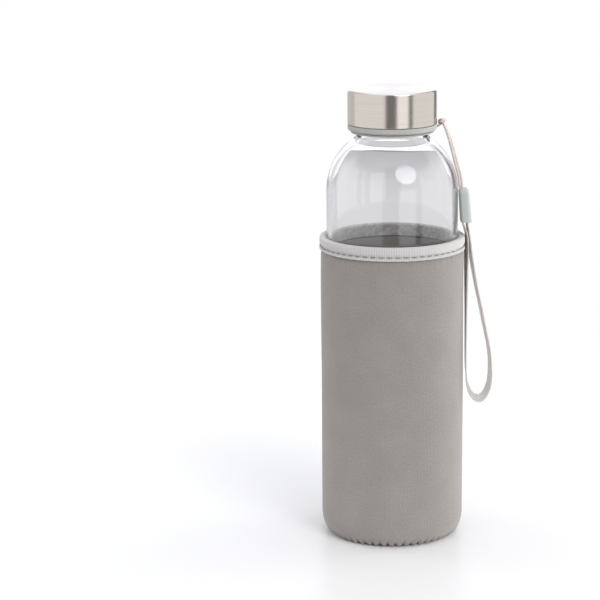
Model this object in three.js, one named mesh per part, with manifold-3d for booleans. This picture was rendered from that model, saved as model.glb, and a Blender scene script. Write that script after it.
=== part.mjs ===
// Glass water bottle with a neoprene sleeve, a screw lid with a steel cover and a wrist strap.
// Millimetres, +Z up, origin on the bottle's axis in the plane it stands on, +X towards the strap.
import * as THREE from 'three';
import { mergeVertices } from 'three/addons/utils/BufferGeometryUtils.js';
import Module from 'manifold-3d';

const wasm = await Module();
wasm.setup();

// ---- driving dimensions -------------------------------------------------------------------
const HEIGHT = 220;             // to the top of the lid
const ROUND = 40;               // sides of every round piece
const GAP = 0.3;                // play between neighbouring pieces

const SLEEVE_R = 34.7;          // outside of the neoprene tube
const NEOPRENE = 2.6;           // thickness of the neoprene
const SLEEVE_FOOT_R = 28.75;    // where the tube's lower edge meets the base disc
const SLEEVE_CORNER = 11;       // height over which the tube turns in to its foot
const HEM_LOW = 142.3;          // lower edge of the rim binding
const HEM_HIGH = 149;           // top of the rim binding
const HEM_R = 35.3;             // outside of the rim binding
const STITCH_Z = 144.2;         // lockstitch line on the binding
const PINCHED = { out: 34.1, in: 33 };      // radii of the tube where the binding grips it
const NOTCH = 0.65;             // room for the overlock thread at the foot
const SEAM = { width: 2.4, thick: 0.36, low: 14.7, high: 140.3 };

const GLASS_R = SLEEVE_R - NEOPRENE - GAP;
const GLASS_WALL = 2.2;
const SHOULDER_Z = 171;         // where the straight glass wall ends
const SHOULDER_ARC = 30;        // radius of the shoulder's round
const NECK_R = 17;
const NECK_BORE_R = 14.7;
const MOUTH_Z = 215.6;
const FLOOR_Z = 8.2;            // inside of the glass bottom

const PITCH = 4.2;              // lid thread, right-handed
const THREAD_TURNS = 1.5;
const THREAD_Z = 205;           // start of the ridge on the neck
const THREAD_PLAY = 1.4;        // the lid's ridge bears from below, this far under the neck's

const LID_R = 21.5;
const STEEL = 0.5;
const SHELL_LOW = 203.4;        // lower edge of the steel cover
const LINER_BORE_R = 18.4;
const LINER_LOW = 199.1;
const LINER_TOP_WALL = 1.8;
const GASKET_BORE_R = 12.5;
const RING_LOW = 200.2;
const RING_BORE_R = 19.8;

const LUG = { x: 23.35, z: 203.9, r: 1.5, hole: 0.9, thick: 1.8 };
const CORD_D = 1.3;
const RIBBON = { width: 9, thick: 0.8 };
// The clasp leans out a little: its inner face is at topX above and at lowX below.
const CLASP = { low: 155, high: 171.5, width: 9.6, topThick: 4.9, lowThick: 5.3, topX: 32.1, lowX: 33.1 };

// ---- helpers ------------------------------------------------------------------------------
const at = (r, z) => new THREE.Vector2(r, z);

// Points of an elliptical quarter or part of one, between two angles in degrees.
function arc(cx, cz, rx, rz, fromDeg, toDeg, steps) {
  const points = [];
  for (let i = 0; i <= steps; i += 1) {
    const a = THREE.MathUtils.degToRad(fromDeg + ((toDeg - fromDeg) * i) / steps);
    points.push(at(cx + rx * Math.cos(a), cz + rz * Math.sin(a)));
  }
  return points;
}

// A body of revolution about +Z. The outline keeps its material on its left.
function turned(outline) {
  const first = outline[0];
  const points = first.x > 0 ? [...outline, first.clone()] : outline;
  return new THREE.LatheGeometry(points, ROUND).rotateX(Math.PI / 2);
}

// A ring of thin thread, with a diamond section.
function threadRing(radius, z, threadR) {
  return turned(arc(radius, z, threadR, threadR, 0, 270, 3));
}

// A bar of one section along a curve.
function swept(section, curve, steps) {
  return new THREE.ExtrudeGeometry(section, { steps, bevelEnabled: false, extrudePath: curve });
}

function polygonShape(points) {
  return new THREE.Shape(points.map(([x, y]) => at(x, y)));
}

function roundSection(diameter, sides) {
  const r = diameter / 2;
  return new THREE.Shape(arc(0, 0, r, r, 0, 360 - 360 / sides, sides - 1));
}

// A trapezoid ridge wound along a right-handed helix, fading out at both ends.
function helixRidge({ root, crest, startZ, rootHalf, crestHalf }) {
  const steps = Math.round(ROUND * THREAD_TURNS);
  const fadeSteps = 6;
  const positions = [];
  const index = [];
  for (let k = 0; k <= steps; k += 1) {
    const angle = (2 * Math.PI * THREAD_TURNS * k) / steps;
    const z = startZ + (PITCH * angle) / (2 * Math.PI);
    const fade = 0.25 + 0.75 * Math.min(1, k / fadeSteps, (steps - k) / fadeSteps);
    const top = root + (crest - root) * fade;
    const corners = [[root, -rootHalf], [top, -crestHalf], [top, crestHalf], [root, rootHalf]];
    const ring = crest > root ? corners : corners.map(([r, h]) => [r, -h]);
    for (const [r, h] of ring) {
      positions.push(r * Math.cos(angle), r * Math.sin(angle), z + h);
    }
  }
  for (let k = 0; k < steps; k += 1) {
    for (let j = 0; j < 4; j += 1) {
      const a = k * 4 + j;
      const d = k * 4 + ((j + 1) % 4);
      index.push(a, a + 4, d, d + 4, d, a + 4);
    }
  }
  const last = steps * 4;
  index.push(0, 1, 2, 0, 2, 3, last, last + 2, last + 1, last, last + 3, last + 2);
  const geometry = new THREE.BufferGeometry();
  geometry.setAttribute('position', new THREE.Float32BufferAttribute(positions, 3));
  geometry.setIndex(index);
  return geometry;
}

// ---- booleans -----------------------------------------------------------------------------
function solid(geometry) {
  const bare = geometry.clone();
  bare.deleteAttribute('normal');
  bare.deleteAttribute('uv');
  const merged = mergeVertices(bare, 1e-4);
  const triangles = [];
  const source = merged.index.array;
  for (let i = 0; i < source.length; i += 3) {
    const [a, b, c] = [source[i], source[i + 1], source[i + 2]];
    if (a !== b && b !== c && c !== a) triangles.push(a, b, c);
  }
  return new wasm.Manifold(new wasm.Mesh({
    numProp: 3,
    vertProperties: new Float32Array(merged.attributes.position.array),
    triVerts: new Uint32Array(triangles),
  }));
}

function shown(manifold) {
  const mesh = manifold.getMesh();
  const geometry = new THREE.BufferGeometry();
  geometry.setAttribute('position', new THREE.BufferAttribute(mesh.vertProperties, 3));
  geometry.setIndex(new THREE.BufferAttribute(mesh.triVerts, 1));
  geometry.computeVertexNormals();
  return geometry;
}

// ---- sleeve -------------------------------------------------------------------------------
function sleeveBody() {
  const inner = SLEEVE_R - NEOPRENE;
  const hemTop = HEM_HIGH - 0.9;
  const foot = SLEEVE_FOOT_R;
  const outline = [
    at(foot + NOTCH, 0),
    ...arc(foot + NOTCH, SLEEVE_CORNER, SLEEVE_R - foot - NOTCH, SLEEVE_CORNER, -70, 0, 5),
    at(SLEEVE_R, HEM_LOW - 0.5),
    at(PINCHED.out, HEM_LOW - 0.3),
    at(PINCHED.out, hemTop),
    at(PINCHED.in, hemTop),
    at(PINCHED.in, HEM_LOW - 0.1),
    at(inner, HEM_LOW - 0.7),
    ...arc(foot, SLEEVE_CORNER, inner - foot, SLEEVE_CORNER - NEOPRENE, 0, -90, 5),
    at(foot, 1.2),
  ];
  return shown(solid(turned(outline)).subtract(solid(seamBar(2 * NOTCH))));
}

// The strip down the back where the sheet's edges meet. A margin turns it into its groove.
function seamBar(margin) {
  const height = SEAM.high - SEAM.low + margin;
  const bar = new THREE.BoxGeometry(SEAM.width + margin, SEAM.thick + margin, height);
  return bar.translate(0, SLEEVE_R - SEAM.thick / 2, (SEAM.high + SEAM.low) / 2);
}

function sleeveBase() {
  const edge = SLEEVE_FOOT_R - GAP;
  return turned([at(0, 0), at(edge - NOTCH, 0), at(edge, 1.2), at(edge, NEOPRENE), at(0, NEOPRENE)]);
}

function rimBinding() {
  const pocketOut = PINCHED.out + GAP;
  const pocketIn = PINCHED.in - GAP;
  const inner = SLEEVE_R - NEOPRENE;
  const groove = 0.45;          // half its height
  const deep = HEM_R - 0.6;
  const mid = (HEM_R + inner) / 2;
  return turned([
    at(pocketOut, HEM_LOW),
    at(HEM_R, HEM_LOW + 0.2),
    at(HEM_R, STITCH_Z - groove),
    at(deep, STITCH_Z - groove),
    at(deep, STITCH_Z + groove),
    at(HEM_R, STITCH_Z + groove),
    ...arc(mid, HEM_HIGH - 1.3, (HEM_R - inner) / 2, 1.3, 0, 180, 5),
    at(inner, HEM_LOW + 0.2),
    at(pocketIn, HEM_LOW + 0.2),
    at(pocketIn, HEM_HIGH - 0.6),
    at(pocketOut, HEM_HIGH - 0.6),
  ]);
}

// ---- glass --------------------------------------------------------------------------------
function glassBottle() {
  const foot = NEOPRENE + GAP;
  const bore = GLASS_R - GLASS_WALL;
  const arcX = GLASS_R - SHOULDER_ARC;
  const innerArc = SHOULDER_ARC - GLASS_WALL;
  const outline = [
    at(0, foot + 1.6),
    at(20, foot + 0.6),
    at(25.4, foot),
    ...arc(27.2, foot + 8.5, GLASS_R - 27.2, 8.4, -78, 0, 4),
    ...arc(arcX, SHOULDER_Z, SHOULDER_ARC, SHOULDER_ARC, 0, 56, 6),
    at(17.5, 197),
    at(NECK_R, 198.6),
    at(NECK_R, MOUTH_Z - 1),
    at(NECK_R - 0.8, MOUTH_Z),
    at(NECK_BORE_R + 0.7, MOUTH_Z),
    at(NECK_BORE_R, MOUTH_Z - 0.9),
    at(NECK_BORE_R, 198.4),
    ...arc(arcX, SHOULDER_Z, innerArc, innerArc, 59, 0, 6),
    ...arc(bore - 6, FLOOR_Z + 6, 6, 6, 0, -90, 3),
    at(0, FLOOR_Z),
  ];
  const ridge = helixRidge({
    root: NECK_R - 0.4, crest: NECK_R + 1.1, startZ: THREAD_Z, rootHalf: 1.1, crestHalf: 0.35,
  });
  return shown(solid(turned(outline)).add(solid(ridge)));
}

// ---- lid ----------------------------------------------------------------------------------
function lidShell() {
  const edge = 1.2;
  const inner = LID_R - STEEL;
  return turned([
    at(0, HEIGHT - STEEL),
    at(inner - 0.7, HEIGHT - STEEL),
    at(inner, HEIGHT - edge),
    at(inner, SHELL_LOW),
    at(LID_R, SHELL_LOW),
    ...arc(LID_R - edge, HEIGHT - edge, edge, edge, 0, 90, 3),
    at(0, HEIGHT),
  ]);
}

function lidLiner() {
  const outer = LID_R - STEEL - GAP;
  const top = HEIGHT - STEEL - GAP;
  const groove = RING_BORE_R - GAP;
  const lipTop = RING_LOW - GAP;
  const outline = [
    at(0, top - LINER_TOP_WALL),
    at(LINER_BORE_R, top - LINER_TOP_WALL),
    at(LINER_BORE_R, LINER_LOW),
    at(LINER_BORE_R + 0.8, LINER_LOW),
    at(groove + 0.6, lipTop - 0.2),
    at(groove + 0.6, lipTop),
    at(groove, lipTop),
    at(groove, SHELL_LOW),
    at(outer, SHELL_LOW),
    at(outer, top - 0.6),
    at(outer - 0.6, top),
    at(0, top),
  ];
  const ridge = helixRidge({
    root: LINER_BORE_R + 0.4,
    crest: LINER_BORE_R - 1.1,
    startZ: THREAD_Z - THREAD_PLAY,
    rootHalf: 1.1,
    crestHalf: 0.35,
  });
  return shown(solid(turned(outline)).add(solid(ridge)));
}

function lidGasket() {
  const low = MOUTH_Z + GAP;
  const high = HEIGHT - STEEL - GAP - LINER_TOP_WALL - GAP;
  const outer = LINER_BORE_R - GAP;
  return turned([at(GASKET_BORE_R, low), at(outer, low), at(outer, high), at(GASKET_BORE_R, high)]);
}

// ---- strap --------------------------------------------------------------------------------
// The ring turns in the liner's groove. Its lug stands up beside the steel cover.
function strapRing() {
  const high = SHELL_LOW - GAP;
  const ring = turned([
    at(RING_BORE_R, RING_LOW),
    ...arc(LID_R - 1.2, RING_LOW + 1.2, 1.2, 1.2, -90, 0, 3),
    at(LID_R, high),
    at(RING_BORE_R, high),
  ]);
  const clearX = LID_R + GAP + 0.05;
  const rootX = LID_R - 0.9;
  const rootZ = RING_LOW + 0.7;
  const plate = new THREE.Shape();
  plate.moveTo(rootX, rootZ);
  plate.lineTo(LID_R + 0.9, rootZ);
  plate.absarc(LUG.x, LUG.z, LUG.r, -0.3 * Math.PI, Math.PI, false);
  plate.lineTo(clearX, high);
  plate.lineTo(rootX, high);
  plate.closePath();
  const hole = new THREE.Path();
  hole.absarc(LUG.x, LUG.z, LUG.hole, 0, 2 * Math.PI, true);
  plate.holes.push(hole);
  const lug = new THREE.ExtrudeGeometry(plate, { depth: LUG.thick, bevelEnabled: false, curveSegments: 10 });
  lug.rotateX(Math.PI / 2).translate(0, LUG.thick / 2, 0);
  return shown(solid(ring).add(solid(lug)));
}

// One cord, doubled: up from the clasp, through the lug and back down. The strands lie side by
// side in X at the clasp and come apart in Y to pass the lug.
function strapCord() {
  const route = [
    [33.9, 0.35, 171.85], [33.65, 0.35, 175], [32.95, 0.4, 178.5], [31.5, 0.45, 183.5],
    [30.45, 0.5, 187.5], [29.45, 0.55, 191], [28.4, 0.62, 194.5], [27.3, 0.72, 197.5],
    [26.1, 0.95, 200.2], [25.1, 1.35, 201.8], [24.2, 1.85, 202.9], [23.55, 1.95, 203.75],
    [23.35, 1.15, 204.05], [23.35, 0, 204], [23.35, -1.15, 204.05],
    [23.55, -1.95, 203.75], [24.2, -1.85, 202.9], [25, -1.35, 201.8], [25.8, -0.95, 200.2],
    [26.7, -0.72, 197.5], [27.6, -0.62, 194.5], [28.55, -0.55, 191], [29.45, -0.5, 187.5],
    [30.4, -0.45, 183.5], [31.8, -0.4, 178.5], [32.45, -0.35, 175], [32.7, -0.35, 171.85],
  ].map(([x, y, z]) => new THREE.Vector3(x, y, z));
  return swept(roundSection(CORD_D, 8), new THREE.CatmullRomCurve3(route), 56);
}

// Moulded over the ends of the cord and of the ribbon. Thicker towards its flat lower end.
function strapClasp() {
  const half = CLASP.width / 2;
  const outline = new THREE.Shape();
  outline.moveTo(-half, CLASP.low);
  outline.lineTo(half, CLASP.low);
  outline.lineTo(half - 0.3, CLASP.high - 3);
  outline.absarc(half - 3.3, CLASP.high - 3, 3, 0, Math.PI / 2, false);
  outline.absarc(3.3 - half, CLASP.high - 3, 3, Math.PI / 2, Math.PI, false);
  outline.closePath();
  const block = new THREE.ExtrudeGeometry(outline, { depth: 1, bevelEnabled: false, curveSegments: 6 });
  // Outline x is the tangent, outline y is the height, and the depth becomes the thickness.
  const position = block.attributes.position;
  for (let i = 0; i < position.count; i += 1) {
    const share = (position.getY(i) - CLASP.low) / (CLASP.high - CLASP.low);
    const thick = THREE.MathUtils.lerp(CLASP.lowThick, CLASP.topThick, share);
    const innerX = THREE.MathUtils.lerp(CLASP.lowX, CLASP.topX, share);
    const x = innerX + position.getZ(i) * thick;
    position.setXYZ(i, x, position.getX(i), position.getY(i));
  }
  return block;
}

// Wrist loop, from the clasp down past the hem, round and back up.
function strapRibbon() {
  const route = [
    [34.2, 154.7], [35.2, 151.6], [36.15, 148.2], [36.15, 142], [36.1, 130], [36.1, 115], [36.1, 100],
    [36.1, 88], [36.3, 80], [37.1, 73.5], [39.2, 68.3], [42.5, 66.1], [45.8, 68.4], [47.8, 74.0],
    [48.3, 81.2], [47.5, 91.5], [45.3, 102.4], [43.1, 113.2], [40.9, 123.5], [38.8, 135.4],
    [37.3, 146], [36.4, 154.7],
  ].map(([x, z]) => new THREE.Vector3(x, 0, z));
  const w = RIBBON.width / 2;
  const t = RIBBON.thick / 2;
  const section = polygonShape([[-w, -t], [w, -t], [w, t], [-w, t]]);
  return swept(section, new THREE.CatmullRomCurve3(route), 44);
}

// ---- assembly -----------------------------------------------------------------------------
function finish(color, roughness, metalness = 0, opacity = 1) {
  return new THREE.MeshStandardMaterial({ color, roughness, metalness, opacity, transparent: opacity < 1 });
}

const NEOPRENE_GREY = finish(0x9b9792, 0.95);
const BINDING_GREY = finish(0xd2d0d0, 0.9);
const THREAD_GREY = finish(0xb9b6b4, 0.85);
const CLEAR_GLASS = finish(0xe6edec, 0.03, 0, 0.35);
const BRUSHED_STEEL = finish(0xc9c6c0, 0.3, 1);
const GREY_PLASTIC = finish(0xbabeb8, 0.5);
const SILICONE = finish(0xe4e4e0, 0.7);
const CORD_BEIGE = finish(0xc8bbb4, 0.85);
const RIBBON_GREY = finish(0xb9b4ae, 0.9);

const pieces = [
  ['sleeve_body', sleeveBody(), NEOPRENE_GREY],
  ['sleeve_base', sleeveBase(), NEOPRENE_GREY],
  ['rim_binding', rimBinding(), BINDING_GREY],
  ['rim_stitch_thread', threadRing(HEM_R - 0.15, STITCH_Z, 0.15), THREAD_GREY],
  ['base_stitch_thread', threadRing(SLEEVE_FOOT_R - 0.15, 0.36, 0.3), THREAD_GREY],
  ['side_seam_thread', seamBar(0), THREAD_GREY],
  ['glass_bottle', glassBottle(), CLEAR_GLASS],
  ['lid_shell', lidShell(), BRUSHED_STEEL],
  ['lid_liner', lidLiner(), GREY_PLASTIC],
  ['lid_gasket', lidGasket(), SILICONE],
  ['strap_ring', strapRing(), GREY_PLASTIC],
  ['strap_cord', strapCord(), CORD_BEIGE],
  ['strap_clasp', strapClasp(), GREY_PLASTIC],
  ['strap_ribbon', strapRibbon(), RIBBON_GREY],
];

const bottle = new THREE.Group();
for (const [name, geometry, material] of pieces) {
  const mesh = new THREE.Mesh(geometry, material);
  mesh.name = name;
  bottle.add(mesh);
}

export default bottle;
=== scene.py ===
"""Looks of the glass water bottle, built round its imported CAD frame.

Lengths in the builders are millimetres on the frame's axes and become metres in add_piece().
Sizes come from the frame's nodes, so each visible piece sits where its CAD node is.
"""
import math

import bmesh
import bpy
import numpy as np
from mathutils import Matrix, Vector


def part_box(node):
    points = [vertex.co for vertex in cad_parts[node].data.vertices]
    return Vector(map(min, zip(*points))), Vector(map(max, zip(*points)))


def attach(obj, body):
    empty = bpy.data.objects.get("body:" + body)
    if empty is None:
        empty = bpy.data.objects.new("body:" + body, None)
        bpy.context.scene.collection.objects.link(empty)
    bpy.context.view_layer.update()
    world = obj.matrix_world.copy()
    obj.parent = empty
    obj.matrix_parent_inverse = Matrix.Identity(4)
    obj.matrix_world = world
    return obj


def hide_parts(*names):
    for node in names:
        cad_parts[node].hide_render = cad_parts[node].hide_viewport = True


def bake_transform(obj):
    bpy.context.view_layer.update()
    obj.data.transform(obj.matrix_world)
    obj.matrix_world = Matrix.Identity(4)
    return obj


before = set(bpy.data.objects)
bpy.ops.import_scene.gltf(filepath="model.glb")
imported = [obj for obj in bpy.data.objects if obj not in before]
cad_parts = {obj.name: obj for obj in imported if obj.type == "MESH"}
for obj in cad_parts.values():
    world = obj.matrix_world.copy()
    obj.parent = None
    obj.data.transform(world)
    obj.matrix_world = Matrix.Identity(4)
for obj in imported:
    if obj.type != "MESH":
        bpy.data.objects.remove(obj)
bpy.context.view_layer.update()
MM = 0.001
TAU = 2 * math.pi


def box_mm(node):
    low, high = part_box(node)
    return low / MM, high / MM


# ---- sizes from the frame, in millimetres ------------------------------------------------
SLEEVE_R = box_mm("sleeve_body")[1].x
SLEEVE_TOP = box_mm("sleeve_body")[1].z
NEOPRENE = box_mm("sleeve_base")[1].z
DISC_R = box_mm("sleeve_base")[1].x
HEM_R = box_mm("rim_binding")[1].x
HEM_LOW = box_mm("rim_binding")[0].z
HEM_HIGH = box_mm("rim_binding")[1].z
STITCH_Z = (box_mm("rim_stitch_thread")[0].z + box_mm("rim_stitch_thread")[1].z) / 2
GLASS_R = box_mm("glass_bottle")[1].x
GLASS_LOW = box_mm("glass_bottle")[0].z
MOUTH_Z = box_mm("glass_bottle")[1].z
LID_R = box_mm("lid_shell")[1].x
LID_LOW = box_mm("lid_shell")[0].z
LID_TOP = box_mm("lid_shell")[1].z
LINER_LOW = box_mm("lid_liner")[0].z
LINER_TOP = box_mm("lid_liner")[1].z
GASKET_LOW = box_mm("lid_gasket")[0].z
GASKET_HIGH = box_mm("lid_gasket")[1].z
RING_LOW = box_mm("strap_ring")[0].z
CLASP_LOW, CLASP_HIGH = box_mm("strap_clasp")
SEAM_LOW, SEAM_HIGH = box_mm("side_seam_thread")

SLEEVE_BORE = SLEEVE_R - NEOPRENE
SLEEVE_CORNER = 11.0            # height over which the tube turns in to its foot
SHOULDER_Z = 171.0              # where the straight glass wall ends
SHOULDER_ARC = 30.0
GLASS_WALL = 2.2
NECK_R = 17.0
NECK_BORE = 14.7
PITCH = 4.2                     # lid thread
THREAD_TURNS = 1.5
NECK_THREAD_Z = 205.0
LINER_THREAD_Z = NECK_THREAD_Z - 1.4
LINER_BORE = 18.4
RING_BORE = 19.8
LUG_X, LUG_Z, LUG_R, LUG_HOLE = 23.35, 203.9, 1.5, 0.9
CORD_D = 1.3
RIBBON_WIDTH, RIBBON_THICK, RIB_PITCH = 9.0, 0.8, 1.0
CLASP_TOP_X, CLASP_LOW_X = 32.1, 33.1       # the clasp leans out a little
CLASP_TOP_THICK, CLASP_LOW_THICK = 4.9, 5.3
# Degrees by which the loop turns its inner face forward, at shares of its length.
RIBBON_TURN = [(0, 0), (0.05, -6.5), (0.08, -8.5), (0.25, 0), (0.4, 3), (0.5, 11), (0.62, 6), (0.85, 6),
               (0.96, 8), (1, 0)]
TUCK_OUTER, TUCK_INNER = 34.1, 33.0         # the neoprene's thinned edge inside the binding
RIDGE = 1.05                    # height of the thread's ridges
ROUND = 192                     # segments of a smooth round body
RIM_STITCHES = 55
BASE_STITCHES = 52

# Routes of the cord and of the wrist loop, in metres.
OUTER_STRAND = [
    (0.0339, 0.00035, 0.17185), (0.03365, 0.00035, 0.175), (0.03295, 0.0004, 0.1785),
    (0.0315, 0.00045, 0.1835), (0.03045, 0.0005, 0.1875), (0.02945, 0.00055, 0.191),
    (0.0284, 0.00062, 0.1945), (0.0273, 0.00072, 0.1975), (0.0261, 0.00095, 0.2002),
]
INNER_STRAND = [
    (0.0258, -0.00095, 0.2002), (0.0267, -0.00072, 0.1975), (0.0276, -0.00062, 0.1945),
    (0.02855, -0.00055, 0.191), (0.02945, -0.0005, 0.1875), (0.0304, -0.00045, 0.1835),
    (0.0318, -0.0004, 0.1785), (0.03245, -0.00035, 0.175), (0.0327, -0.00035, 0.17185),
]
RIBBON = [
    (0.0342, 0, 0.1547), (0.0352, 0, 0.1516), (0.03615, 0, 0.1482), (0.03615, 0, 0.142),
    (0.0361, 0, 0.13), (0.0361, 0, 0.115), (0.0361, 0, 0.1), (0.0361, 0, 0.088), (0.0363, 0, 0.08),
    (0.0371, 0, 0.0735), (0.0392, 0, 0.0683), (0.0425, 0, 0.0661), (0.0458, 0, 0.0684),
    (0.0478, 0, 0.074), (0.0483, 0, 0.0812), (0.0475, 0, 0.0915), (0.0453, 0, 0.1024),
    (0.0431, 0, 0.1132), (0.0409, 0, 0.1235), (0.0388, 0, 0.1354), (0.0373, 0, 0.146),
    (0.0364, 0, 0.1547),
]


# ---- camera ------------------------------------------------------------------------------
def make_camera():
    place = Vector((-57.5, -1100.0, 360.0)) * MM
    yaw, pitch, roll = math.radians(0.65), math.radians(12.47), math.radians(-0.48)
    ahead = Vector((math.sin(yaw) * math.cos(pitch), math.cos(yaw) * math.cos(pitch), -math.sin(pitch)))
    right = Vector((math.cos(yaw), -math.sin(yaw), 0))
    up = right.cross(ahead)
    tilted_right = right * math.cos(roll) + up * math.sin(roll)
    tilted_up = up * math.cos(roll) - right * math.sin(roll)
    data = bpy.data.cameras.new("camera")
    data.sensor_width = 36
    data.lens = 138.4
    camera = bpy.data.objects.new("camera", data)
    turn = Matrix((tilted_right, tilted_up, -ahead)).transposed().to_4x4()
    camera.matrix_world = Matrix.Translation(place) @ turn
    bpy.context.scene.collection.objects.link(camera)
    bpy.context.scene.camera = camera


# ---- mesh helpers ------------------------------------------------------------------------
def face_outwards(mesh, weld):
    """Turns a closed mesh's faces outwards, and first merges doubled points if weld is set."""
    work = bmesh.new()
    work.from_mesh(mesh)
    if weld:
        bmesh.ops.remove_doubles(work, verts=work.verts, dist=1e-7)
    bmesh.ops.recalc_face_normals(work, faces=work.faces)
    work.to_mesh(mesh)
    work.free()


def add_piece(name, verts, faces, uvs=None, material=None, weld=False):
    """verts in millimetres, and uvs one pair for each face corner, in millimetres along the cloth."""
    mesh = bpy.data.meshes.new(name)
    mesh.from_pydata((np.asarray(verts, float) * MM).tolist(), [], faces)
    if uvs is not None:
        layer = mesh.uv_layers.new(name="cloth")
        layer.data.foreach_set("uv", np.asarray(uvs, np.float32).ravel())
    mesh.polygons.foreach_set("use_smooth", [True] * len(mesh.polygons))
    if weld:
        face_outwards(mesh, weld)
    mesh.update()
    piece = bpy.data.objects.new(name, mesh)
    bpy.context.scene.collection.objects.link(piece)
    if material:
        mesh.materials.append(material)
    return piece


def grid_faces(count_u, count_v, wrap_u, wrap_v, start=0):
    """Quads of a grid of points, ordered [u][v], with its corner indices into an unwrapped grid."""
    i, j = np.meshgrid(np.arange(count_u - (not wrap_u)), np.arange(count_v - (not wrap_v)), indexing="ij")
    i, j = i.ravel(), j.ravel()
    corners = [(i, j), (i + 1, j), (i + 1, j + 1), (i, j + 1)]
    faces = np.stack([start + (a % count_u) * count_v + b % count_v for a, b in corners], 1)
    return faces, corners


def revolve(name, outline, segments, material, body, node=None, shape=None):
    """A body of revolution. outline lists (radius, height) with its material on its left.
    shape(r, z, angle) may change the radius and height from place to place."""
    outline = np.asarray(outline, float)
    on_axis = outline[0, 0] == 0
    angles = np.arange(segments) * TAU / segments
    r, angle = np.meshgrid(outline[:, 0], angles)
    z = np.broadcast_to(outline[:, 1], r.shape).copy()
    if shape:
        r, z = shape(r, z, angle)
    points = np.stack([r * np.cos(angle), r * np.sin(angle), z], -1)
    count_v = len(outline)
    faces, corners = grid_faces(segments, count_v, True, not on_axis)
    along = np.concatenate([[0], np.cumsum(np.hypot(*np.diff(outline, axis=0).T))])
    along = np.append(along, along[-1] + math.hypot(*(outline[0] - outline[-1])))
    girth = TAU * outline[:, 0].max() / segments
    uvs = np.stack([np.stack([a * girth, along[b]], 1) for a, b in corners], 1)
    piece = add_piece(name, points.reshape(-1, 3), faces.tolist(), uvs, material, weld=on_axis)
    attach(piece, body)
    if node:
        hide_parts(node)
    return piece


def arc(cx, cz, rx, rz, start, end, steps):
    """Points of an ellipse between two angles in degrees."""
    angles = np.radians(np.linspace(start, end, steps + 1))
    return [(cx + rx * math.cos(a), cz + rz * math.sin(a)) for a in angles]


def line(start, end, steps):
    """Points from start to end, both included."""
    return [tuple(p) for p in np.linspace(start, end, steps + 1)]


def spline(points, count):
    """Catmull-Rom curve through points, resampled to count points at even spacing."""
    p = np.asarray(points, float)
    p = np.vstack([2 * p[0] - p[1], p, 2 * p[-1] - p[-2]])
    fine = []
    for k in range(1, len(p) - 2):
        t = np.linspace(0, 1, 24, endpoint=False)[:, None]
        a, b, c, d = p[k - 1], p[k], p[k + 1], p[k + 2]
        fine.append(0.5 * (2 * b + (c - a) * t + (2 * a - 5 * b + 4 * c - d) * t**2
                           + (3 * b - 3 * c + d - a) * t**3))
    fine = np.vstack([*fine, p[-2][None]])
    reach = np.concatenate([[0], np.cumsum(np.linalg.norm(np.diff(fine, axis=0), axis=1))])
    even = np.linspace(0, reach[-1], count)
    return np.stack([np.interp(even, reach, fine[:, k]) for k in range(fine.shape[1])], 1), reach[-1]


def frames_along(path, start_normal):
    """Normal and side vectors that turn as little as possible along the path."""
    tangent = np.gradient(path, axis=0)
    tangent /= np.linalg.norm(tangent, axis=1)[:, None]
    normal = np.zeros_like(path)
    n = np.asarray(start_normal, float)
    for k, t in enumerate(tangent):
        n = n - t * n.dot(t)
        n /= np.linalg.norm(n)
        normal[k] = n
    return normal, np.cross(tangent, normal)


def sweep_grid(path, section, start_normal):
    """Points of a section, given as [ring][point] (normal, side) offsets, carried along a path."""
    normal, side = frames_along(path, start_normal)
    return path[:, None] + section[..., :1] * normal[:, None] + section[..., 1:] * side[:, None]


def tube_mesh(parts):
    """Vertices, faces and UVs of several capped tubes, each a [ring][point] grid."""
    verts, faces, uvs, start = [], [], [], 0
    for points in parts:
        rings, around = points.shape[:2]
        quads, corners = grid_faces(rings, around, False, True, start)
        reach = np.concatenate([[0], np.cumsum(np.linalg.norm(
            np.diff(points.mean(1), axis=0), axis=1))])
        girth = np.linalg.norm(np.diff(points[rings // 2], axis=0), axis=1).mean()
        uvs.append(np.stack([np.stack([reach[a], b * girth], 1) for a, b in corners], 1).reshape(-1, 2))
        faces += quads.tolist()
        faces += [list(range(start, start + around)),
                  list(range(start + (rings - 1) * around, start + rings * around))]
        uvs.append(np.zeros((2 * around, 2)))
        verts.append(points.reshape(-1, 3))
        start += rings * around
    return np.vstack(verts), faces, np.vstack(uvs)


def round_section(rings, around, radius):
    """Circle offsets for every ring. radius is a number or an array [ring][point]."""
    a = np.arange(around) * TAU / around
    ring = np.stack([np.cos(a), np.sin(a)], 1)
    radius = np.broadcast_to(radius, (rings, around))
    return ring[None] * radius[..., None]


def add_tubes(name, parts, material, body, node=None):
    """Closed tubes that ride on a body, or on none."""
    verts, faces, uvs = tube_mesh(parts)
    piece = add_piece(name, verts, faces, uvs, material)
    face_outwards(piece.data, weld=False)
    if body:
        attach(piece, body)
    if node:
        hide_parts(node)
    return piece


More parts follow.
